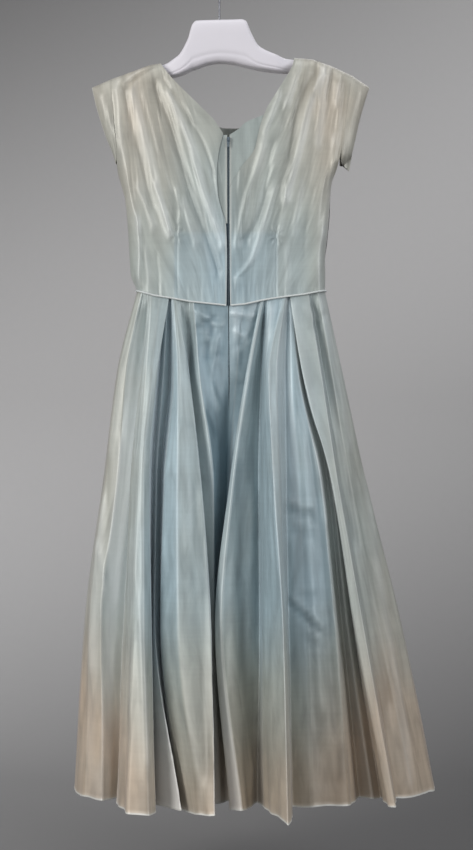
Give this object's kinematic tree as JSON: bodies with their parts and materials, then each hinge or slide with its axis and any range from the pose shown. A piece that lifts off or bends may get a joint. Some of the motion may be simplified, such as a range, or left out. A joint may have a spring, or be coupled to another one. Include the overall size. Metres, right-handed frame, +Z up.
{
  "type": "bridesmaid dress on a hanger",
  "caption": "Ballerina-length pleated bridesmaid dress with cap sleeves and a centre-back zip, hanging on a broad moulded hanger.",
  "frame": {"origin": "top of the hook's inner side, where the hook rests on a rail", "axes": "+Z up, X across the dress, the back with the zip faces -Y"},
  "size_m": [0.6463, 0.3483, 1.4567],
  "materials": {
    "organza_blue": "semi-sheer organza over pale blue taffeta, shimmering, aged cream toward the hem",
    "organza_cream": "semi-sheer organza, aged cream, soft sheen",
    "taffeta_blue": "pale blue taffeta, low sheen",
    "piping_cream": "cream corded piping",
    "zip_tape": "dull woven tape",
    "zip_metal": "dulled metal",
    "hanger_white": "smooth white moulding",
    "hook_chrome": "bright wire"
  },
  "bodies": {
    "dress": {"back_bodice_left": "organza_cream", "back_bodice_right": "organza_cream", "front_bodice": "organza_cream", "under_bodice_left": "taffeta_blue", "under_bodice_right": "taffeta_blue", "cap_sleeve_left": "organza_cream", "cap_sleeve_right": "organza_cream", "piping_back_left": "piping_cream", "piping_back_right": "piping_cream", "piping_front": "piping_cream", "skirt_back_left": "organza_blue", "skirt_back_right": "organza_blue", "skirt_front": "organza_blue", "zip_tape_left": "zip_tape", "zip_tape_right": "zip_tape", "zip_chain": "zip_metal", "zip_slider": "zip_metal", "hanger_body": "hanger_white", "hanger_hook": "hook_chrome"},
    "zip_pull": {"zip_pull": "zip_metal"}
  },
  "joints": [
    {"name": "zip_pull_swing", "type": "hinge", "parent": "dress", "child": "zip_pull", "pos_m": [0.0158, -0.03054, -0.307], "axis": [-1, 0, 0], "range_deg": [0, 150]}
  ]
}
